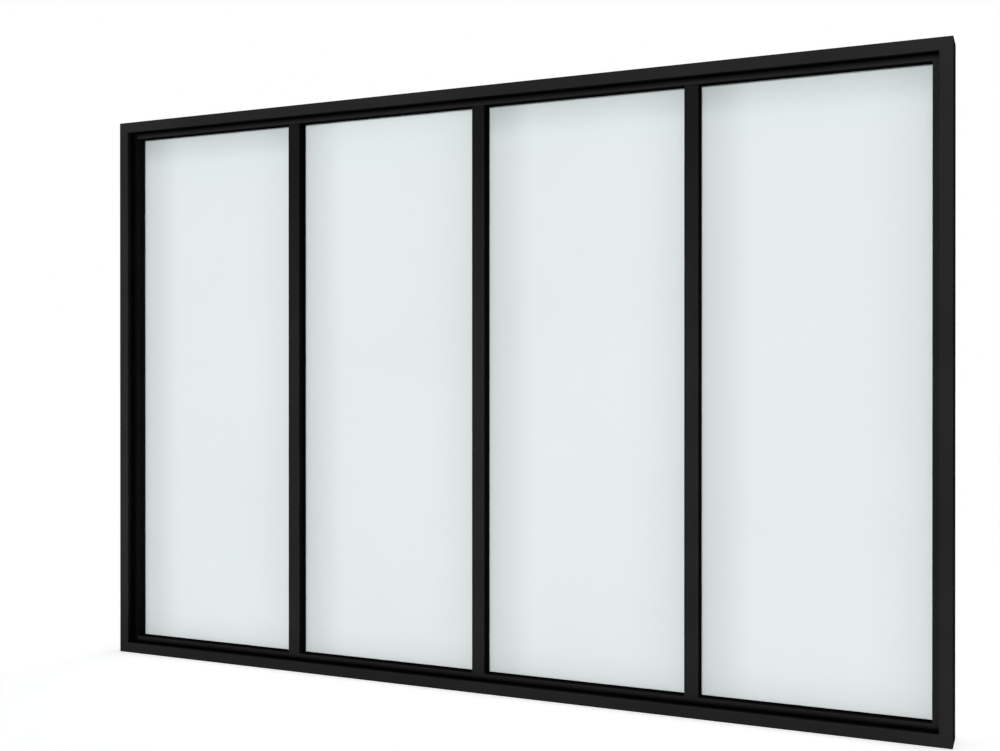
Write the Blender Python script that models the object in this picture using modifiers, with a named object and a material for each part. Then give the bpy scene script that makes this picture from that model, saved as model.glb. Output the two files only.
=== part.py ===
# Fixed interior glass partition: a black aluminium frame with four upright panes.
# Metres, +Z up. The origin is the middle of the frame's underside. The front faces -Y.
import math

import bmesh
import bpy
from mathutils import Matrix, Vector

# Overall size
OVERALL_WIDTH = 1.600
OVERALL_HEIGHT = 1.080
PANE_COUNT = 4

# Section of the outer frame, seen from the front
FACE_WIDTH = 0.020          # front face, along the outer edge
BAND_WIDTH = 0.011          # set-back face between the front face and the glass
BAND_SETBACK = 0.017        # from the front face back to the band
GLASS_SETBACK = 0.024       # from the band back to the glass
WALL = 0.0018               # wall of the hollow sections
EDGE_RADIUS = 0.0008        # rounding of the edges that show

# Mullions
MULLION_WIDTH = 0.024
MULLION_WEB = 0.004         # thin web between two panes
PORT_RADIUS = 0.0019        # screw port: hole that the rail's screw cuts its thread in
PORT_WALL = 0.0013
PORT_MOUTH = math.radians(80)       # open part of the port
PORT_HOLE_STEPS = 9

# Glass and the gasket round its edge
GLASS_THICKNESS = 0.006
GLASS_ARRIS = 0.0005        # small bevel that takes the sharpness off the glass
GASKET_THICKNESS = 0.003    # in front of the glass and behind it
GASKET_RECESS = 0.0005      # from the sight line back to the gasket's lip
GLASS_EDGE_CLEARANCE = 0.002

# Glazing beads that clip in behind the glass
BEAD_DEPTH = 0.010          # from the gasket to the back of the frame
BEAD_WALL = 0.0015
BEAD_TOE = 0.005            # foot that lies on the rebate floor
BEAD_TOE_THICKNESS = 0.0012
GROOVE_DEPTH = 0.001        # groove in the rebate floor that the bead snaps into
GROOVE_WIDTH = 0.002
GROOVE_DRAFT = 0.0003       # how far each side of the groove slopes in towards its floor
GROOVE_INSET = 0.0025       # from the back of the frame to the groove

# Corner cleats inside the mitred frame
CLEAT_LEG = 0.030           # how far each leg runs past the corner

# Clearances
SEAT_GAP = 0.0003           # between pieces that touch
WELD_DISTANCE = 0.00001
ARC_STEPS = 3
CUTTER_MARGIN = 0.010       # how far a cutter stands past what it cuts

# Worked out from the sizes above. Depths run back from the front face, and
# widths run in from the outer edge of the frame.
SIGHT_WIDTH = FACE_WIDTH + BAND_WIDTH
REBATE_DEPTH = (MULLION_WIDTH - MULLION_WEB) / 2
REBATE_FLOOR = SIGHT_WIDTH - REBATE_DEPTH
GLASS_COVER = REBATE_DEPTH - GLASS_EDGE_CLEARANCE
GLASS_FRONT = BAND_SETBACK + GLASS_SETBACK
GLASS_BACK = GLASS_FRONT + GLASS_THICKNESS
STOP_BACK = GLASS_FRONT - GASKET_THICKNESS
BEAD_FRONT = GLASS_BACK + GASKET_THICKNESS
FRAME_DEPTH = BEAD_FRONT + BEAD_DEPTH
GROOVE_BACK = FRAME_DEPTH - GROOVE_INSET
GROOVE_FRONT = GROOVE_BACK - GROOVE_WIDTH
CHAMBER_INNER = REBATE_FLOOR - GROOVE_DEPTH - WALL
CLEAT_REACH = CHAMBER_INNER + CLEAT_LEG
CLEAR_HEIGHT = OVERALL_HEIGHT - 2 * SIGHT_WIDTH
CLEAR_WIDTH = (OVERALL_WIDTH - 2 * SIGHT_WIDTH - (PANE_COUNT - 1) * MULLION_WIDTH) / PANE_COUNT
PANE_PITCH = CLEAR_WIDTH + MULLION_WIDTH
MID_HEIGHT = OVERALL_HEIGHT / 2
FRONT_Y = -FRAME_DEPTH / 2
MITRE_SETBACK = SEAT_GAP / math.sqrt(2)

# Turn about Y that takes a section's inward direction to the one that each side needs
SIDE_TURNS = {"left": 0, "top": 90, "right": 180, "bottom": -90}


def clear_scene():
    for old_object in list(bpy.data.objects):
        bpy.data.objects.remove(old_object, do_unlink=True)


def new_collection(name):
    collection = bpy.data.collections.new(name)
    bpy.context.scene.collection.children.link(collection)
    return collection


def new_material(name, colour, roughness, metallic=0.0, transmission=0.0):
    material = bpy.data.materials.new(name)
    material.use_nodes = True
    shader = material.node_tree.nodes["Principled BSDF"]
    shader.inputs["Base Color"].default_value = (*colour, 1.0)
    shader.inputs["Roughness"].default_value = roughness
    shader.inputs["Metallic"].default_value = metallic
    shader.inputs["Transmission Weight"].default_value = transmission
    material.diffuse_color = (*colour, 1.0)
    return material


def rounded_outline(corners):
    """Outline through corners given as (x, y, radius), each rounded by its own arc."""
    points = []
    for index, (x, y, radius) in enumerate(corners):
        corner = Vector((x, y))
        if radius == 0:
            points.append(corner)
            continue
        before = (Vector(corners[index - 1][:2]) - corner).normalized()
        after = (Vector(corners[(index + 1) % len(corners)][:2]) - corner).normalized()
        half_angle = before.angle(after) / 2
        centre = corner + (before + after).normalized() * radius / math.sin(half_angle)
        start = corner + before * radius / math.tan(half_angle) - centre
        end = corner + after * radius / math.tan(half_angle) - centre
        for step in range(ARC_STEPS + 1):
            direction = start.lerp(end, step / ARC_STEPS)
            points.append(centre + direction.normalized() * radius)
    return points


def arc_points(centre, radius, start, end, steps):
    """Points along an arc about a centre, with both of its ends."""
    points = []
    for step in range(steps + 1):
        angle = start + (end - start) * step / steps
        points.append(centre + Vector((math.cos(angle), math.sin(angle))) * radius)
    return points


def rectangle(low_x, low_y, high_x, high_y):
    return [Vector(p) for p in ((low_x, low_y), (high_x, low_y), (high_x, high_y), (low_x, high_y))]


def extruded_mesh(name, outlines, length):
    """Prism on a flat outline with any holes in it, centred on its own Z."""
    curve = bpy.data.curves.new(name, "CURVE")
    curve.dimensions = "2D"
    curve.fill_mode = "BOTH"
    curve.extrude = length / 2
    for outline in outlines:
        spline = curve.splines.new("POLY")
        spline.points.add(len(outline) - 1)
        for point, place in zip(spline.points, outline):
            point.co = (place.x, place.y, 0, 1)
        spline.use_cyclic_u = True
    holder = bpy.data.objects.new(name, curve)
    bpy.context.scene.collection.objects.link(holder)
    depsgraph = bpy.context.evaluated_depsgraph_get()
    mesh = bpy.data.meshes.new_from_object(holder.evaluated_get(depsgraph))
    mesh.name = name
    bpy.data.objects.remove(holder)
    bpy.data.curves.remove(curve)
    shape = bmesh.new()
    shape.from_mesh(mesh)
    bmesh.ops.remove_doubles(shape, verts=shape.verts, dist=WELD_DISTANCE)
    bmesh.ops.recalc_face_normals(shape, faces=shape.faces)
    shape.to_mesh(mesh)
    shape.free()
    return mesh


def box_mesh(name, low, high):
    """Box between two corners, kept in its mesh."""
    low, high = Vector(low), Vector(high)
    shape = bmesh.new()
    bmesh.ops.create_cube(shape, size=1)
    bmesh.ops.scale(shape, vec=high - low, verts=shape.verts)
    bmesh.ops.translate(shape, vec=(low + high) / 2, verts=shape.verts)
    mesh = bpy.data.meshes.new(name)
    shape.to_mesh(mesh)
    shape.free()
    return mesh


def add_object(name, mesh, collection, material=None, location=(0, 0, 0), turn=Matrix(), parent=None):
    if material and not mesh.materials:
        mesh.materials.append(material)
    new_object = bpy.data.objects.new(name, mesh)
    collection.objects.link(new_object)
    new_object.location = location
    new_object.rotation_euler = turn.to_euler()
    new_object.parent = parent
    return new_object


def add_cutter(name, low, high, collection):
    cutter = add_object(name, box_mesh(name, low, high), collection)
    cutter.display_type = "WIRE"
    cutter.hide_render = True
    return cutter


def cut(target, cutter):
    boolean = target.modifiers.new(cutter.name, "BOOLEAN")
    boolean.operation = "DIFFERENCE"
    boolean.solver = "EXACT"
    boolean.object = cutter


def mitre_ends(mesh, length):
    """Slides each end point along the length by its distance from the outer edge."""
    for vertex in mesh.vertices:
        reach = length / 2 - MITRE_SETBACK - vertex.co.x
        vertex.co.z = math.copysign(reach, vertex.co.z)


def frame_outlines():
    """Stepped hollow section of the outer frame: x runs in, y runs back."""
    outer = rounded_outline([
        (0, 0, EDGE_RADIUS),
        (FACE_WIDTH, 0, EDGE_RADIUS),
        (FACE_WIDTH, BAND_SETBACK, 0),
        (SIGHT_WIDTH, BAND_SETBACK, EDGE_RADIUS),
        (SIGHT_WIDTH, STOP_BACK, 0),
        (REBATE_FLOOR, STOP_BACK, 0),
        (REBATE_FLOOR, GROOVE_FRONT, 0),
        (REBATE_FLOOR - GROOVE_DEPTH, GROOVE_FRONT + GROOVE_DRAFT, 0),
        (REBATE_FLOOR - GROOVE_DEPTH, GROOVE_BACK - GROOVE_DRAFT, 0),
        (REBATE_FLOOR, GROOVE_BACK, 0),
        (REBATE_FLOOR, FRAME_DEPTH, 0),
        (0, FRAME_DEPTH, EDGE_RADIUS),
    ])
    front_chamber = rounded_outline([
        (WALL, WALL, 0),
        (FACE_WIDTH - WALL, WALL, 0),
        (FACE_WIDTH - WALL, BAND_SETBACK + WALL, 0),
        (SIGHT_WIDTH - WALL, BAND_SETBACK + WALL, 0),
        (SIGHT_WIDTH - WALL, STOP_BACK - WALL, 0),
        (WALL, STOP_BACK - WALL, 0),
    ])
    rear_chamber = rectangle(WALL, STOP_BACK, CHAMBER_INNER, FRAME_DEPTH - WALL)
    return [outer, front_chamber, rear_chamber]


def mullion_chamber():
    """Chamber of the mullion head, with a C-shaped screw port on each side wall."""
    side = MULLION_WIDTH / 2 - WALL
    front = BAND_SETBACK + WALL
    back = STOP_BACK - WALL
    centre = Vector((side - PORT_RADIUS, (front + back) / 2))
    ring_radius = PORT_RADIUS + PORT_WALL
    wall_angle = math.acos(PORT_RADIUS / ring_radius)
    lip_angle = math.pi - PORT_MOUTH / 2
    right_side = [
        Vector((side, front)),
        *arc_points(centre, ring_radius, -wall_angle, -lip_angle, ARC_STEPS),
        *arc_points(centre, PORT_RADIUS, -lip_angle, lip_angle, PORT_HOLE_STEPS),
        *arc_points(centre, ring_radius, lip_angle, wall_angle, ARC_STEPS),
        Vector((side, back)),
    ]
    return right_side + [Vector((-point.x, point.y)) for point in reversed(right_side)]


def mullion_outlines():
    """Hollow head between two panes, with a grooved web behind it."""
    half_head = MULLION_WIDTH / 2
    half_web = MULLION_WEB / 2
    right_side = [
        (half_head, BAND_SETBACK, EDGE_RADIUS),
        (half_head, STOP_BACK, 0),
        (half_web, STOP_BACK, 0),
        (half_web, GROOVE_FRONT, 0),
        (half_web - GROOVE_DEPTH, GROOVE_FRONT + GROOVE_DRAFT, 0),
        (half_web - GROOVE_DEPTH, GROOVE_BACK - GROOVE_DRAFT, 0),
        (half_web, GROOVE_BACK, 0),
        (half_web, FRAME_DEPTH, 0),
    ]
    left_side = [(-x, y, radius) for x, y, radius in reversed(right_side)]
    return [rounded_outline(right_side + left_side), mullion_chamber()]


def bead_outline():
    """Open clip-in bead: x runs in to the sight line at 0, y runs back."""
    floor = SEAT_GAP - REBATE_DEPTH
    nib_tip = floor - GROOVE_DEPTH
    nib_front = GROOVE_FRONT + SEAT_GAP
    nib_back = GROOVE_BACK - SEAT_GAP
    toe_front = FRAME_DEPTH - BEAD_TOE
    return rounded_outline([
        (floor, FRAME_DEPTH, 0),
        (floor, nib_back, 0),
        (nib_tip, nib_back - GROOVE_DRAFT, 0),
        (nib_tip, nib_front + GROOVE_DRAFT, 0),
        (floor, nib_front, 0),
        (floor, toe_front, 0),
        (floor + BEAD_TOE_THICKNESS, toe_front, 0),
        (floor + BEAD_TOE_THICKNESS, FRAME_DEPTH - BEAD_WALL, 0),
        (-BEAD_WALL, FRAME_DEPTH - BEAD_WALL, 0),
        (-BEAD_WALL, BEAD_FRONT + BEAD_WALL, 0),
        (floor, BEAD_FRONT + BEAD_WALL, 0),
        (floor, BEAD_FRONT, 0),
        (0, BEAD_FRONT, 0),
        (0, FRAME_DEPTH, EDGE_RADIUS),
    ])


def side_turn(side):
    return Matrix.Rotation(math.radians(SIDE_TURNS[side]), 4, "Y")


def build_outer_frame(collection, material, root):
    rails = {
        "frame_left_stile": ("left", OVERALL_HEIGHT, (-OVERALL_WIDTH / 2, FRONT_Y, MID_HEIGHT)),
        "frame_right_stile": ("right", OVERALL_HEIGHT, (OVERALL_WIDTH / 2, FRONT_Y, MID_HEIGHT)),
        "frame_top_rail": ("top", OVERALL_WIDTH, (0, FRONT_Y, OVERALL_HEIGHT)),
        "frame_bottom_rail": ("bottom", OVERALL_WIDTH, (0, FRONT_Y, 0)),
    }
    for name, (side, length, place) in rails.items():
        mesh = extruded_mesh(name, frame_outlines(), length)
        mitre_ends(mesh, length)
        add_object(name, mesh, collection, material, place, side_turn(side), root)


def build_corner_cleats(collection, material, root):
    """Angle pieces that fill the rear chamber and hold each mitre together."""
    near = WALL + SEAT_GAP
    far = CHAMBER_INNER - SEAT_GAP
    outline = rounded_outline([
        (near, near, 0),
        (CLEAT_REACH, near, 0),
        (CLEAT_REACH, far, 0),
        (far, far, 0),
        (far, CLEAT_REACH, 0),
        (near, CLEAT_REACH, 0),
    ])
    chamber_front = STOP_BACK + SEAT_GAP
    chamber_back = FRAME_DEPTH - WALL - SEAT_GAP
    mesh = extruded_mesh("corner_cleat", [outline], chamber_back - chamber_front)
    mid_y = FRONT_Y + (chamber_front + chamber_back) / 2
    corners = {
        "bottom_left": (-1, 0, "left"),
        "bottom_right": (1, 0, "bottom"),
        "top_right": (1, OVERALL_HEIGHT, "right"),
        "top_left": (-1, OVERALL_HEIGHT, "top"),
    }
    upright = Matrix.Rotation(math.radians(90), 4, "X")
    for corner, (sign, height, side) in corners.items():
        place = (sign * OVERALL_WIDTH / 2, mid_y, height)
        add_object("corner_cleat_" + corner, mesh, collection, material, place, side_turn(side) @ upright, root)


def build_mullions(collection, cutters, material, root):
    """Mullions run to the rebate floors. Their heads are cut back to butt the frame."""
    web_length = OVERALL_HEIGHT - 2 * (REBATE_FLOOR + SEAT_GAP)
    mesh = extruded_mesh("mullion", mullion_outlines(), web_length)
    side = OVERALL_WIDTH / 2
    front = FRONT_Y - CUTTER_MARGIN
    back = FRONT_Y + STOP_BACK + SEAT_GAP
    head_end = SIGHT_WIDTH + SEAT_GAP
    bottom_cutter = add_cutter(
        "bottom_head_cutter", (-side, front, -CUTTER_MARGIN), (side, back, head_end), cutters)
    top_cutter = add_cutter(
        "top_head_cutter",
        (-side, front, OVERALL_HEIGHT - head_end),
        (side, back, OVERALL_HEIGHT + CUTTER_MARGIN),
        cutters,
    )
    for index in range(1, PANE_COUNT):
        place = (pane_left(index) - MULLION_WIDTH / 2, FRONT_Y, MID_HEIGHT)
        mullion = add_object("mullion_%d" % index, mesh, collection, material, place, parent=root)
        cut(mullion, bottom_cutter)
        cut(mullion, top_cutter)


def pane_left(index):
    """X of a pane's left sight line, counted from 0 at the left."""
    return -OVERALL_WIDTH / 2 + SIGHT_WIDTH + index * PANE_PITCH


def build_panes(collection, material, root):
    half_width = CLEAR_WIDTH / 2 + GLASS_COVER
    half_height = CLEAR_HEIGHT / 2 + GLASS_COVER
    low = (-half_width, -GLASS_THICKNESS / 2, -half_height)
    high = (half_width, GLASS_THICKNESS / 2, half_height)
    mesh = box_mesh("glass_pane", low, high)
    mid_y = FRONT_Y + (GLASS_FRONT + GLASS_BACK) / 2
    for index in range(PANE_COUNT):
        place = (pane_left(index) + CLEAR_WIDTH / 2, mid_y, MID_HEIGHT)
        pane = add_object("glass_pane_%d" % (index + 1), mesh, collection, material, place, parent=root)
        arris = pane.modifiers.new("arris", "BEVEL")
        arris.width = GLASS_ARRIS
        arris.segments = 1
        arris.limit_method = "NONE"


def build_gaskets(collection, cutters, material, root):
    """Ring of channel gasket round each pane, cut out where the glass sits."""
    outer_grow = REBATE_DEPTH - SEAT_GAP
    half_width = CLEAR_WIDTH / 2
    half_height = CLEAR_HEIGHT / 2
    outer = rectangle(
        -half_width - outer_grow, -half_height - outer_grow, half_width + outer_grow, half_height + outer_grow)
    inner = rectangle(
        -half_width - GASKET_RECESS, -half_height - GASKET_RECESS,
        half_width + GASKET_RECESS, half_height + GASKET_RECESS)
    front = STOP_BACK + SEAT_GAP
    back = BEAD_FRONT - SEAT_GAP
    mesh = extruded_mesh("glazing_gasket", [outer, inner], back - front)
    upright = Matrix.Rotation(math.radians(90), 4, "X")
    pocket_width = half_width + GLASS_COVER + SEAT_GAP
    pocket_height = half_height + GLASS_COVER + SEAT_GAP
    for index in range(PANE_COUNT):
        middle = pane_left(index) + half_width
        place = (middle, FRONT_Y + (front + back) / 2, MID_HEIGHT)
        gasket = add_object(
            "glazing_gasket_%d" % (index + 1), mesh, collection, material, place, upright, root)
        pocket = add_cutter(
            "glass_pocket_%d" % (index + 1),
            (middle - pocket_width, FRONT_Y + GLASS_FRONT - SEAT_GAP, MID_HEIGHT - pocket_height),
            (middle + pocket_width, FRONT_Y + GLASS_BACK + SEAT_GAP, MID_HEIGHT + pocket_height),
            cutters,
        )
        cut(gasket, pocket)


def build_beads(collection, material, root):
    """Top and bottom beads run the full rebate, and the side beads fit between them."""
    cross_length = CLEAR_WIDTH + 2 * (REBATE_DEPTH - SEAT_GAP)
    side_length = CLEAR_HEIGHT - 2 * SEAT_GAP
    cross_mesh = extruded_mesh("cross_bead", [bead_outline()], cross_length)
    side_mesh = extruded_mesh("side_bead", [bead_outline()], side_length)
    for index in range(PANE_COUNT):
        left = pane_left(index)
        middle = left + CLEAR_WIDTH / 2
        beads = {
            "left": (side_mesh, (left, FRONT_Y, MID_HEIGHT)),
            "right": (side_mesh, (left + CLEAR_WIDTH, FRONT_Y, MID_HEIGHT)),
            "top": (cross_mesh, (middle, FRONT_Y, OVERALL_HEIGHT - SIGHT_WIDTH)),
            "bottom": (cross_mesh, (middle, FRONT_Y, SIGHT_WIDTH)),
        }
        for side, (mesh, place) in beads.items():
            name = "glazing_bead_%d_%s" % (index + 1, side)
            add_object(name, mesh, collection, material, place, side_turn(side), root)


def main():
    clear_scene()
    partition = new_collection("glass_partition")
    cutters = new_collection("cutters")
    root = bpy.data.objects.new("glass_partition", None)
    partition.objects.link(root)
    black_coat = new_material("black_powder_coat", (0.020, 0.020, 0.021), 0.5, 0.0)
    satin_glass = new_material("satin_glass", (0.78, 0.83, 0.82), 0.45, 0.0, 0.3)
    black_rubber = new_material("black_rubber", (0.008, 0.008, 0.008), 0.7)
    bare_aluminium = new_material("bare_aluminium", (0.60, 0.61, 0.62), 0.4, 1.0)
    build_outer_frame(partition, black_coat, root)
    build_corner_cleats(partition, bare_aluminium, root)
    build_mullions(partition, cutters, black_coat, root)
    build_panes(partition, satin_glass, root)
    build_gaskets(partition, cutters, black_rubber, root)
    build_beads(partition, black_coat, root)


main()
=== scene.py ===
import math

import bmesh
import bpy
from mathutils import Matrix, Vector


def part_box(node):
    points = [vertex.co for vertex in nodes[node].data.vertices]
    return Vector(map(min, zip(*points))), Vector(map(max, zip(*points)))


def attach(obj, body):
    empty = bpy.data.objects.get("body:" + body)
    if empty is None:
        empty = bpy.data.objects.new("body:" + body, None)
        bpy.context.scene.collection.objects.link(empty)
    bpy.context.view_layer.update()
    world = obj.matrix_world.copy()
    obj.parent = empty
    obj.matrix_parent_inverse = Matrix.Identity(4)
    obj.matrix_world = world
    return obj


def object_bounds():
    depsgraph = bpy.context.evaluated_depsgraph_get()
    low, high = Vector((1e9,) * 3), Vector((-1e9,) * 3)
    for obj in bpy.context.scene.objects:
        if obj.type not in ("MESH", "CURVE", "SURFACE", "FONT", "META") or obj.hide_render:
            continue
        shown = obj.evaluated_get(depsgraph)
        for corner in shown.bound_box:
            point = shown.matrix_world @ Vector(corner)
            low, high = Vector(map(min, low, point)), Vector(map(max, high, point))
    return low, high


# Looks of a fixed interior glass partition: satin panes in a black powder-coated frame.
# Metres, +Z up. The front faces -Y, and the bottom rail stands on the floor at z = 0.

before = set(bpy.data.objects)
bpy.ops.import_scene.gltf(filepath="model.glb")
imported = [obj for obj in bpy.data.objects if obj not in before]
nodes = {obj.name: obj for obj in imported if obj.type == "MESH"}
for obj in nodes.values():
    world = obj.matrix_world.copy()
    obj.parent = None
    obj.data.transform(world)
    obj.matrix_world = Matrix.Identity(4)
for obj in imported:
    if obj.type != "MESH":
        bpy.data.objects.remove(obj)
cadBox = [list(corner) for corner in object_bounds()]


def nodesNamed(start):
    return sorted(name for name in nodes if name.startswith(start))


# Camera: the eye is out to the right of the frame and looks back to the left

view = {
    "eye": (0.9161, -1.9831, 0.5697),
    "yaw": 23.897,           # degrees turned to the left
    "pitch": 0.117,          # degrees down
    "lens": 43.64,
    "filmWidth": 36.0,
    "farthest": 200.0,       # it sees past the far edge of the floor
}


def makeCamera():
    print("camera")
    data = bpy.data.cameras.new("viewCamera")
    data.sensor_fit = "HORIZONTAL"
    data.sensor_width = view["filmWidth"]
    data.lens = view["lens"]
    data.clip_end = view["farthest"]
    camera = bpy.data.objects.new("viewCamera", data)
    camera.location = view["eye"]
    camera.rotation_euler = (math.radians(90 - view["pitch"]), 0, math.radians(view["yaw"]))
    bpy.context.scene.collection.objects.link(camera)
    bpy.context.scene.camera = camera


# Material helpers: each adds a node to the tree and gives back its output

def newMaterial(name):
    material = bpy.data.materials.new(name)
    material.use_nodes = True
    tree = material.node_tree
    return material, tree, tree.nodes["Principled BSDF"]


def objectPlace(tree):
    return tree.nodes.new("ShaderNodeTexCoord").outputs["Object"]


def axesOf(tree, place):
    split = tree.nodes.new("ShaderNodeSeparateXYZ")
    tree.links.new(place, split.inputs["Vector"])
    return split.outputs


def noiseAt(tree, place, scale, detail):
    noise = tree.nodes.new("ShaderNodeTexNoise")
    noise.inputs["Scale"].default_value = scale
    noise.inputs["Detail"].default_value = detail
    tree.links.new(place, noise.inputs["Vector"])
    return noise.outputs["Fac"]


# A colour that goes from one to another while the value goes from low to high

def ramp(tree, value, low, high, lowColour, highColour):
    node = tree.nodes.new("ShaderNodeValToRGB")
    node.color_ramp.elements[0].position = low
    node.color_ramp.elements[0].color = (*lowColour, 1)
    node.color_ramp.elements[1].position = high
    node.color_ramp.elements[1].color = (*highColour, 1)
    tree.links.new(value, node.inputs["Fac"])
    return node.outputs["Color"]


# A grey that follows a row of stops, each a place and its tone

def steps(tree, value, stops):
    node = tree.nodes.new("ShaderNodeValToRGB")
    elements = node.color_ramp.elements
    elements[0].position, elements[1].position = stops[0][0], stops[-1][0]
    for place, tone in stops[1:-1]:
        elements.new(place)
    for element, (place, tone) in zip(elements, stops):
        element.color = (tone, tone, tone, 1)
    tree.links.new(value, node.inputs["Fac"])
    return node.outputs["Color"]


# A number that goes from lowest to highest while the value goes from start to end

def spread(tree, value, lowest, highest, start=0.0, end=1.0, curve="LINEAR"):
    node = tree.nodes.new("ShaderNodeMapRange")
    node.interpolation_type = curve
    node.inputs["From Min"].default_value = start
    node.inputs["From Max"].default_value = end
    node.inputs["To Min"].default_value = lowest
    node.inputs["To Max"].default_value = highest
    tree.links.new(value, node.inputs["Value"])
    return node.outputs["Result"]


def feed(tree, sockets, values):
    for socket, value in zip(sockets, values):
        if isinstance(value, (int, float)):
            socket.default_value = value
        else:
            tree.links.new(value, socket)


def sums(tree, operation, *values):
    node = tree.nodes.new("ShaderNodeMath")
    node.operation = operation
    feed(tree, node.inputs, values)
    return node.outputs[0]


def times(tree, *values):
    product = values[0]
    for value in values[1:]:
        product = sums(tree, "MULTIPLY", product, value)
    return product


# The first number where the share is 0 and the second where it is 1

def blended(tree, share, first, second):
    node = tree.nodes.new("ShaderNodeMix")
    tree.links.new(share, node.inputs[0])
    feed(tree, node.inputs[2:4], (first, second))
    return node.outputs[0]


def shaded(tree, colour, shade):
    node = tree.nodes.new("ShaderNodeMix")
    node.data_type = "RGBA"
    node.blend_type = "MULTIPLY"
    node.inputs["Factor"].default_value = 1.0
    tree.links.new(colour, node.inputs[6])
    tree.links.new(shade, node.inputs[7])
    return node.outputs[2]


def bump(tree, height, strength, distance, under=None):
    node = tree.nodes.new("ShaderNodeBump")
    node.inputs["Strength"].default_value = strength
    node.inputs["Distance"].default_value = distance
    tree.links.new(height, node.inputs["Height"])
    if under:
        tree.links.new(under, node.inputs["Normal"])
    return node.outputs["Normal"]


# Main sizes, read from the frame

faceDepth = 0.001            # a bar's front face and its rounded edges lie within this depth


def frameSizes():
    low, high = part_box("frame_left_stile")
    paneLow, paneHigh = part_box("glass_pane_1")
    mullionLow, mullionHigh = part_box("mullion_2")
    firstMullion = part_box("mullion_1")[0]
    stile = nodes["frame_left_stile"].data.vertices
    faceEdge = max(point.co.x for point in stile if point.co.y < low.y + faceDepth)
    return {
        "halfWidth": cadBox[1][0],
        "height": cadBox[1][2],
        "front": cadBox[0][1],                               # places along the depth
        "back": cadBox[1][1],
        "band": mullionLow.y,
        "glassFront": paneLow.y,
        "glassBack": paneHigh.y,
        "face": faceEdge - low.x,                            # width of a bar's front face
        "sight": high.x - low.x,                             # width of a bar up to the glass
        "halfMullion": (mullionHigh.x - mullionLow.x) / 2,
        "pitch": mullionLow.x - firstMullion.x,
    }


sizes = frameSizes()


# Powder coat of the rails, stiles, mullions and beads

coat = {
    "dark": 0.0165,
    "light": 0.0195,
    "cloud": (7.0, 3),       # scale and detail of the slow drift of tone along a bar
    "grain": (1100.0, 2),    # fine texture of the baked powder
    "peel": (260.0, 1),      # orange peel
    "span": (0.3, 0.7),      # noise values of the darkest and the lightest tone
    "grainTone": 0.12,       # how much the grain changes the tone
    "grainBump": (0.2, 0.00006),  # strength and height
    "peelBump": (0.25, 0.0002),
    "roughness": (0.76, 0.86),
    "specular": 0.0,
}


# Distances from the nearer side and the nearer end of the frame

def edgeDistances(tree, across, up):
    middle = sizes["height"] / 2
    fromSide = sums(tree, "SUBTRACT", sizes["halfWidth"], sums(tree, "ABSOLUTE", across))
    fromMiddle = sums(tree, "ABSOLUTE", sums(tree, "SUBTRACT", up, middle))
    return fromSide, sums(tree, "SUBTRACT", middle, fromMiddle)


# Painted light and shade from bar to bar: lighter stiles and top rail, darker bottom rail, as a share of
# the plain tone, with no step at the mitres

paintedLight = {
    "left": 0.33,            # painted light: the left stile is a little lighter, most of all half way up
    "leftEnds": 0.4,         # share of this that is left at its ends
    "leftReach": 0.35,       # distance from an end at which the share is whole
    "right": (0.22, 0.05),   # the right stile, at its ends and half way up
    "rightReach": (0.1, 0.28),  # distances from an end between which it changes
    "top": 0.10,
    "bottom": -0.13,
    "stileReach": 0.2,       # distance from the side at which the stiles' painted light dies out
    "railReach": 0.1,
}


def paintedBarLight(tree, across, up, fromEnd):
    side, top, face = sizes["halfWidth"], sizes["height"], sizes["face"]
    inner = side - paintedLight["stileReach"]
    left = spread(tree, across, paintedLight["left"], 0, face - side, -inner)
    leftShare = spread(tree, fromEnd, paintedLight["leftEnds"], 1, face, paintedLight["leftReach"], "SMOOTHSTEP")
    rightShare = spread(tree, across, 0, 1, inner, side - face)
    right = spread(tree, fromEnd, *paintedLight["right"], *paintedLight["rightReach"], "SMOOTHSTEP")
    stiles = sums(tree, "ADD", times(tree, left, leftShare), times(tree, right, rightShare))
    topRail = spread(tree, up, 0, paintedLight["top"], top - paintedLight["railReach"], top - face)
    bottomRail = spread(tree, up, paintedLight["bottom"], 0, face, paintedLight["railReach"])
    total = sums(tree, "ADD", stiles, sums(tree, "ADD", topRail, bottomRail))
    return sums(tree, "ADD", total, 1.0)


# Painted shade: the steps of the section are darker towards their bottoms than the faces, as shade falls
# in recesses

paintedShade = {
    "outerStep": (           # depth in the step and its painted shade, from the lip to the bottom
        (0.0, 1.0), (0.15, 0.75), (0.3, 0.5), (0.5, 0.33), (0.75, 0.2), (1.0, 0.06),
    ),
    "innerStep": (           # the same from the band to the glass
        (0.0, 1.0), (0.03, 1.0), (0.04, 0.64), (0.15, 0.48), (0.3, 0.32), (0.5, 0.21), (1.0, 0.04),
    ),
    "band": 0.05,            # painted shade of the set-back band where it meets the outer step
    "leftBand": (0.055, 0.17),  # painted shadow on the left stile's band, from the outer step to the inner one
    "leftStep": (0.45, 0.18),   # painted shadow on the left stile's inner step, from the band to the glass
    # painted light: the right stile's band is lighter
    "rightBand": 0.8,
    "mullionTop": 0.5,       # painted shadow of the top rail on the mullions, its tone at the top rail
    "mullionReach": 0.45,    # distance from the top at which they are at their full tone
    "outerSide": 0.62,       # painted shade on the partition's outer edges
    "slack": 0.0001,         # a point this near to a face counts as on it
    "bandSlack": 0.0003,     # the left stile's inner step starts this far behind the band
}


def stepShade(tree, depth, start, end, stops):
    return steps(tree, spread(tree, depth, 0, 1, start, end), stops)


# Painted shadow on the band and inner step of the left stile: a soft rise, then a slow fall towards the
# glass

def leftShadow(tree, depth, inward):
    band = spread(tree, inward, *paintedShade["leftBand"], sizes["face"], sizes["sight"])
    step = spread(tree, depth, *paintedShade["leftStep"], sizes["band"], sizes["glassFront"])
    inStep = sums(tree, "GREATER_THAN", depth, sizes["band"] + paintedShade["bandSlack"])
    return blended(tree, inStep, band, step)


# Painted shade on the band of the other bars, painted light on the right stile's band, and painted shadow
# of the top rail on the mullions, whose faces lie level with the band

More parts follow.
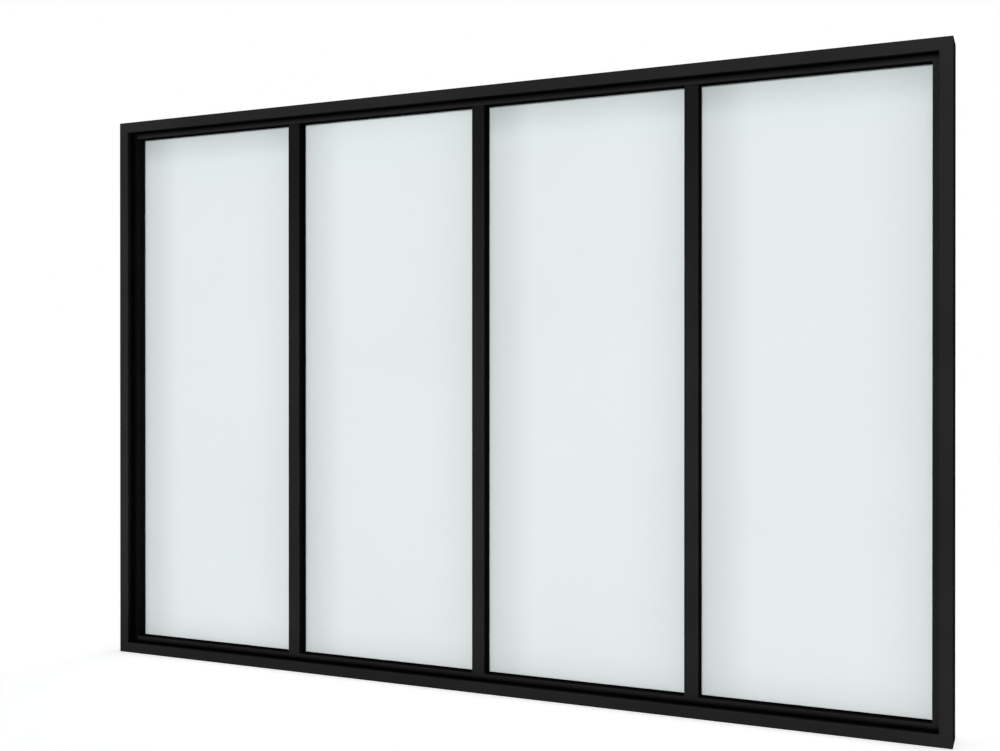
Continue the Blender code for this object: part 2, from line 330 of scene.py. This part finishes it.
def bandShade(tree, up, inward, fromEnd, onRight):
    face, sight, height = sizes["face"], sizes["sight"], sizes["height"]
    band = spread(tree, inward, paintedShade["band"], 1, face, sight, "SMOOTHSTEP")
    right = spread(tree, fromEnd, paintedShade["band"], paintedShade["rightBand"], face, sight, "SMOOTHSTEP")
    band = sums(tree, "MAXIMUM", band, times(tree, right, onRight))
    underTop = spread(tree, up, 1, paintedShade["mullionTop"], height - paintedShade["mullionReach"], height)
    onMullion = sums(tree, "GREATER_THAN", inward, sight + paintedShade["slack"])
    return times(tree, band, blended(tree, onMullion, 1.0, underTop))


def paintedShading(tree, across, depth, up, fromSide, fromEnd):
    slack = paintedShade["slack"]
    band, glassFront, glassBack = sizes["band"], sizes["glassFront"], sizes["glassBack"]
    sightLine = sizes["halfWidth"] - sizes["sight"] - slack
    inward = sums(tree, "MINIMUM", fromSide, fromEnd)
    outerStep = stepShade(tree, depth, sizes["front"], band, paintedShade["outerStep"])
    innerStep = stepShade(tree, depth, band, glassFront, paintedShade["innerStep"])
    rearStep = stepShade(tree, depth, sizes["back"], glassBack, paintedShade["outerStep"])
    onRight = sums(tree, "GREATER_THAN", across, sightLine)
    onLeft = sums(tree, "LESS_THAN", across, -sightLine)
    inner = times(tree, innerStep, bandShade(tree, up, inward, fromEnd, onRight))
    inner = blended(tree, onLeft, inner, leftShadow(tree, depth, inward))
    pastBand = sums(tree, "GREATER_THAN", depth, band - slack)
    behind = sums(tree, "GREATER_THAN", depth, glassBack - slack)
    insideShade = blended(tree, behind, blended(tree, pastBand, outerStep, inner), rearStep)
    onSide = sums(tree, "LESS_THAN", fromSide, slack)
    outsideShade = blended(tree, onSide, 1.0, paintedShade["outerSide"])
    inside = sums(tree, "GREATER_THAN", inward, sizes["face"] - slack)
    return blended(tree, inside, outsideShade, insideShade)


def powderCoat():
    material, tree, shader = newMaterial("powderCoat")
    place = objectPlace(tree)
    across, depth, up = axesOf(tree, place)
    fromSide, fromEnd = edgeDistances(tree, across, up)
    cloud = noiseAt(tree, place, *coat["cloud"])
    grain = noiseAt(tree, place, *coat["grain"])
    peel = noiseAt(tree, place, *coat["peel"])
    tone = ramp(tree, cloud, *coat["span"], (coat["dark"],) * 3, (coat["light"],) * 3)
    grainShade = spread(tree, grain, 1 - coat["grainTone"], 1 + coat["grainTone"], *coat["span"])
    # painted shade in the recesses and painted light from bar to bar, multiplied into the coat's own tone
    paintedRecessShade = paintedShading(tree, across, depth, up, fromSide, fromEnd)
    shade = times(tree, paintedRecessShade, grainShade, paintedBarLight(tree, across, up, fromEnd))
    tree.links.new(shaded(tree, tone, shade), shader.inputs["Base Color"])
    tree.links.new(spread(tree, cloud, *coat["roughness"]), shader.inputs["Roughness"])
    shader.inputs["Specular IOR Level"].default_value = coat["specular"]
    waves = bump(tree, peel, *coat["peelBump"])
    tree.links.new(bump(tree, grain, *coat["grainBump"], waves), shader.inputs["Normal"])
    return material


# Satin glass: etched on both faces, pale green-grey

glass = {
    "dark": (0.800, 0.850, 0.850),
    "light": (0.830, 0.880, 0.880),
    "cloud": (2.2, 2),       # scale and detail of the slow drift of tone
    "etch": (1600.0, 2),     # fine texture of the etching
    "span": (0.3, 0.7),      # noise values of the darkest and the lightest tone
    "etchBump": (0.12, 0.00004),  # strength and height
    "roughness": (0.50, 0.58),
    "transmission": 0.10,
    "specular": 0.25,
    "ior": 1.5,
    "edges": {               # painted shade: tone at an edge, and the distances over which it clears
        "left": (0.89, 0.025, 0.092),
        "right": (0.94, 0.0, 0.12),
        "top": (0.87, 0.006, 0.064),
        "bottom": (0.97, 0.0, 0.060),
    },
    "cornerDepth": 5.0,      # how much the two painted shades add up in the top corners
    "topTint": (0.972, 1.0, 1.0),
    "tintHeight": 0.12,      # distance from the top at which the painted shade's tint is gone
    "paintedLight": (1.016, 0.984),  # painted light and shade, from the middle of the first pane to that of the last
    "panes": 4,
}


# Distances from the sight lines of the pane that a point is in

def sightDistances(tree, across, up):
    pitch, halfMullion = sizes["pitch"], sizes["halfMullion"]
    positive = sums(tree, "ADD", across, pitch * glass["panes"])
    fromMullion = sums(tree, "MODULO", positive, pitch)
    return {
        "left": sums(tree, "SUBTRACT", fromMullion, halfMullion),
        "right": sums(tree, "SUBTRACT", pitch - halfMullion, fromMullion),
        "top": sums(tree, "SUBTRACT", sizes["height"] - sizes["sight"], up),
        "bottom": sums(tree, "SUBTRACT", up, sizes["sight"]),
    }


# Painted shade: soft darker edges, deeper in the top corners and tinted at the top

def paintedEdgeShade(tree, across, up):
    halfPitch = sizes["pitch"] / 2
    distances = sightDistances(tree, across, up)
    shades = {
        side: spread(tree, distances[side], tone, 1, start, end, "SMOOTHSTEP")
        for side, (tone, start, end) in glass["edges"].items()
    }
    fromSecond = sums(tree, "ABSOLUTE", sums(tree, "ADD", across, halfPitch))
    inSecond = sums(tree, "LESS_THAN", fromSecond, halfPitch)
    shades["top"] = sums(tree, "MAXIMUM", shades["top"], inSecond)  # the second pane gets no painted shade at its top
    sideLack = sums(tree, "SUBTRACT", 1.0, times(tree, shades["left"], shades["right"]))
    topLack = sums(tree, "SUBTRACT", 1.0, shades["top"])
    cornerLack = times(tree, sideLack, topLack, glass["cornerDepth"])
    corners = sums(tree, "SUBTRACT", 1.0, cornerLack)
    # painted light: the first pane a little lighter, the last a little darker
    lastMiddle = (glass["panes"] - 1) * halfPitch
    paintedPaneLight = spread(tree, across, *glass["paintedLight"], -lastMiddle, lastMiddle)
    shade = times(tree, corners, *shades.values(), paintedPaneLight)
    tintShare = spread(tree, distances["top"], 0, 1, 0, glass["tintHeight"], "SMOOTHSTEP")
    return shaded(tree, ramp(tree, tintShare, 0, 1, glass["topTint"], (1, 1, 1)), shade)


def satinGlass():
    material, tree, shader = newMaterial("satinGlass")
    place = objectPlace(tree)
    across, depth, up = axesOf(tree, place)
    cloud = noiseAt(tree, place, *glass["cloud"])
    etch = noiseAt(tree, place, *glass["etch"])
    tone = ramp(tree, cloud, *glass["span"], glass["dark"], glass["light"])
    tree.links.new(shaded(tree, tone, paintedEdgeShade(tree, across, up)), shader.inputs["Base Color"])
    tree.links.new(spread(tree, cloud, *glass["roughness"]), shader.inputs["Roughness"])
    shader.inputs["Specular IOR Level"].default_value = glass["specular"]
    shader.inputs["Transmission Weight"].default_value = glass["transmission"]
    shader.inputs["IOR"].default_value = glass["ior"]
    tree.links.new(bump(tree, etch, *glass["etchBump"]), shader.inputs["Normal"])
    return material


# Gasket rubber

rubber = {
    "dark": (0.0035, 0.0035, 0.0035),
    "light": (0.0065, 0.0065, 0.0065),
    "grain": (700.0, 3),     # scale and detail
    "span": (0.35, 0.65),    # noise values of the darkest and the lightest tone
    "grainBump": (0.3, 0.0001),  # strength and height
    "roughness": (0.68, 0.82),
    "specular": 0.12,
}


def gasketRubber():
    material, tree, shader = newMaterial("gasketRubber")
    grain = noiseAt(tree, objectPlace(tree), *rubber["grain"])
    tone = ramp(tree, grain, *rubber["span"], rubber["dark"], rubber["light"])
    tree.links.new(tone, shader.inputs["Base Color"])
    tree.links.new(spread(tree, grain, *rubber["roughness"]), shader.inputs["Roughness"])
    shader.inputs["Specular IOR Level"].default_value = rubber["specular"]
    tree.links.new(bump(tree, grain, *rubber["grainBump"]), shader.inputs["Normal"])
    return material


# Bare aluminium of the corner cleats

cleat = {
    "dark": (0.46, 0.47, 0.48),
    "light": (0.62, 0.63, 0.64),
    "lines": (90.0, 4),      # scale and detail of the drawing lines
    "stretch": (1, 12, 1),   # the lines lie close together along the depth
    "span": (0.3, 0.7),      # noise values of the darkest and the lightest tone
    "lineBump": (0.15, 0.0001),  # strength and height
    "roughness": (0.32, 0.45),
}


def bareAluminium():
    material, tree, shader = newMaterial("bareAluminium")
    stretch = tree.nodes.new("ShaderNodeMapping")
    stretch.inputs["Scale"].default_value = cleat["stretch"]
    tree.links.new(objectPlace(tree), stretch.inputs["Vector"])
    lines = noiseAt(tree, stretch.outputs["Vector"], *cleat["lines"])
    tone = ramp(tree, lines, *cleat["span"], cleat["dark"], cleat["light"])
    tree.links.new(tone, shader.inputs["Base Color"])
    tree.links.new(spread(tree, lines, *cleat["roughness"]), shader.inputs["Roughness"])
    shader.inputs["Metallic"].default_value = 1.0
    tree.links.new(bump(tree, lines, *cleat["lineBump"]), shader.inputs["Normal"])
    return material


def dressNodes():
    print("materials")
    finishes = {
        "frame_": powderCoat(),
        "glass_pane_": satinGlass(),
        "glazing_gasket_": gasketRubber(),
        "corner_cleat_": bareAluminium(),
    }
    finishes["mullion_"] = finishes["frame_"]
    finishes["glazing_bead_"] = finishes["frame_"]
    for start, material in finishes.items():
        for name in nodesNamed(start):
            node = nodes[name]
            node.data.materials.clear()
            node.data.materials.append(material)
    return finishes


# Mitre seals: thin coated films that close the joints between the rails and the stiles

seal = {
    "slack": 0.00001,        # left free on each side of a film
    "mergeDistance": 0.00001,
    "facing": 0.5,           # a mitred end's normal points inward and outward by more than this
}


# The mitred end of a stile, as an open sheet

def mitredEnd(stile, inward, outward):
    sheet = bmesh.new()
    sheet.from_mesh(stile)
    bmesh.ops.remove_doubles(sheet, verts=sheet.verts, dist=seal["mergeDistance"])
    sheet.normal_update()
    rest = []
    for face in sheet.faces:
        if min(face.normal.x * inward, face.normal.z * outward) < seal["facing"]:
            rest.append(face)
    bmesh.ops.delete(sheet, geom=rest, context="FACES")
    return sheet


def makeMitreSeals(material):
    print("mitre seals")
    joint = 2 * (sizes["halfWidth"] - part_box("frame_top_rail")[1].x)
    thickness = joint - 2 * seal["slack"]
    for side, inward in (("left", 1), ("right", -1)):
        stile = nodes["frame_" + side + "_stile"].data
        for end, outward in (("bottom", -1), ("top", 1)):
            film = mitredEnd(stile, inward, outward)
            bmesh.ops.translate(film, vec=(inward * seal["slack"], 0, 0), verts=film.verts)
            grown = bmesh.ops.extrude_face_region(film, geom=film.faces[:])["geom"]
            moved = [item for item in grown if isinstance(item, bmesh.types.BMVert)]
            bmesh.ops.translate(film, vec=(inward * thickness, 0, 0), verts=moved)
            bmesh.ops.recalc_face_normals(film, faces=film.faces)
            name = "mitre_seal_%s_%s" % (end, side)
            mesh = bpy.data.meshes.new(name)
            film.to_mesh(mesh)
            film.free()
            mesh.materials.append(material)
            piece = bpy.data.objects.new(name, mesh)
            bpy.context.scene.collection.objects.link(piece)
            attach(piece, "root")


# Floor and light

studio = {
    "floorSize": 60.0,
    "floorColour": (0.84, 0.84, 0.84),
    "floorGlow": 0.64,       # added where the floor is seen, so that it meets the white behind
    "skyLight": 0.33,
    "lamps": {
        "frontLamp": {"from": (-0.03, -1.0, 0.055), "strength": 2.12, "spread": 5.5},
        "backLamp": {"from": (0.35, 1.0, 0.15), "strength": 2.2, "spread": 20},
    },
}


# 1 for the rays that show the background: camera, mirror and glass rays

def seenRay(tree):
    path = tree.nodes.new("ShaderNodeLightPath").outputs
    direct = sums(tree, "MAXIMUM", path["Is Camera Ray"], path["Is Glossy Ray"])
    return sums(tree, "MAXIMUM", direct, path["Is Transmission Ray"])


def makeFloor():
    print("floor")
    shape = bmesh.new()
    bmesh.ops.create_grid(shape, x_segments=1, y_segments=1, size=studio["floorSize"] / 2)
    mesh = bpy.data.meshes.new("floor")
    shape.to_mesh(mesh)
    shape.free()
    floor = bpy.data.objects.new("floor", mesh)
    bpy.context.scene.collection.objects.link(floor)
    material, tree, shader = newMaterial("paleFloor")
    shader.inputs["Base Color"].default_value = (*studio["floorColour"], 1)
    shader.inputs["Roughness"].default_value = 1.0
    shader.inputs["Specular IOR Level"].default_value = 0.0
    shader.inputs["Emission Color"].default_value = (1, 1, 1, 1)
    glow = times(tree, seenRay(tree), studio["floorGlow"])
    tree.links.new(glow, shader.inputs["Emission Strength"])
    mesh.materials.append(material)


def makeSky():
    print("sky")
    world = bpy.data.worlds.new("studioSky")
    bpy.context.scene.world = world
    world.use_nodes = True
    tree = world.node_tree
    background = tree.nodes["Background"]
    background.inputs["Color"].default_value = (1, 1, 1, 1)
    strength = spread(tree, seenRay(tree), studio["skyLight"], 1.0)
    tree.links.new(strength, background.inputs["Strength"])


def makeLamps():
    print("lamps")
    for name, lamp in studio["lamps"].items():
        data = bpy.data.lights.new(name, "SUN")
        data.energy = lamp["strength"]
        data.angle = math.radians(lamp["spread"])
        light = bpy.data.objects.new(name, data)
        light.rotation_euler = Vector(lamp["from"]).to_track_quat("Z", "Y").to_euler()
        bpy.context.scene.collection.objects.link(light)


makeCamera()
finishes = dressNodes()
makeMitreSeals(finishes["frame_"])
makeFloor()
makeSky()
makeLamps()
bpy.context.scene.view_settings.view_transform = "Standard"

print("done")
